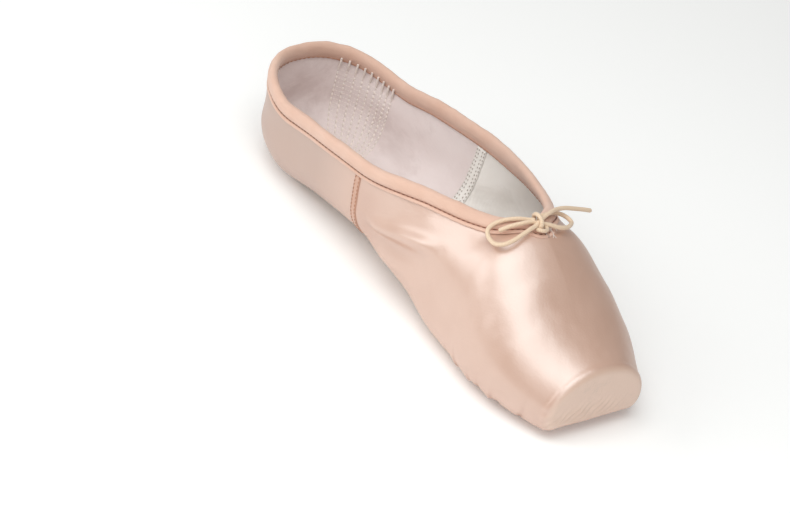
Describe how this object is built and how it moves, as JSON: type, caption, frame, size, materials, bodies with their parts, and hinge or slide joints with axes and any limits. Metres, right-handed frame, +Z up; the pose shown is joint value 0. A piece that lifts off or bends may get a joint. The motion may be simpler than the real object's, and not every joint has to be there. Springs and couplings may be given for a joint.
{
  "type": "pointe shoe",
  "caption": "Satin pointe shoe, empty and unbent, with a stiff toe box and flat oval platform, padded collar with a drawstring bow, and a short leather outsole",
  "frame": {"origin": "on the ground plane under the middle of the shoe's box, measured without the drawstring's bow", "axes": "+X points to the toe platform along the shoe's length, +Y to one side square to the plane of symmetry, +Z up"},
  "size_m": [0.2328, 0.0756, 0.0703],
  "materials": {
    "satin": "pale peach-pink satin with a soft broad sheen",
    "binding": "matt peach cotton tape, padded, with a stitched edge",
    "lining": "off-white cotton twill, matt",
    "leather": "tan split leather, matt, darker at the edge",
    "cotton": "cream braided cotton cord"
  },
  "bodies": {
    "root": {"upper": "satin", "collar_binding": "binding", "insole": "lining", "outsole": "leather", "drawstring_loop_near": "cotton", "drawstring_end_near": "cotton", "drawstring_loop_far": "cotton", "drawstring_end_far": "cotton", "drawstring_knot": "cotton"}
  },
  "joints": []
}
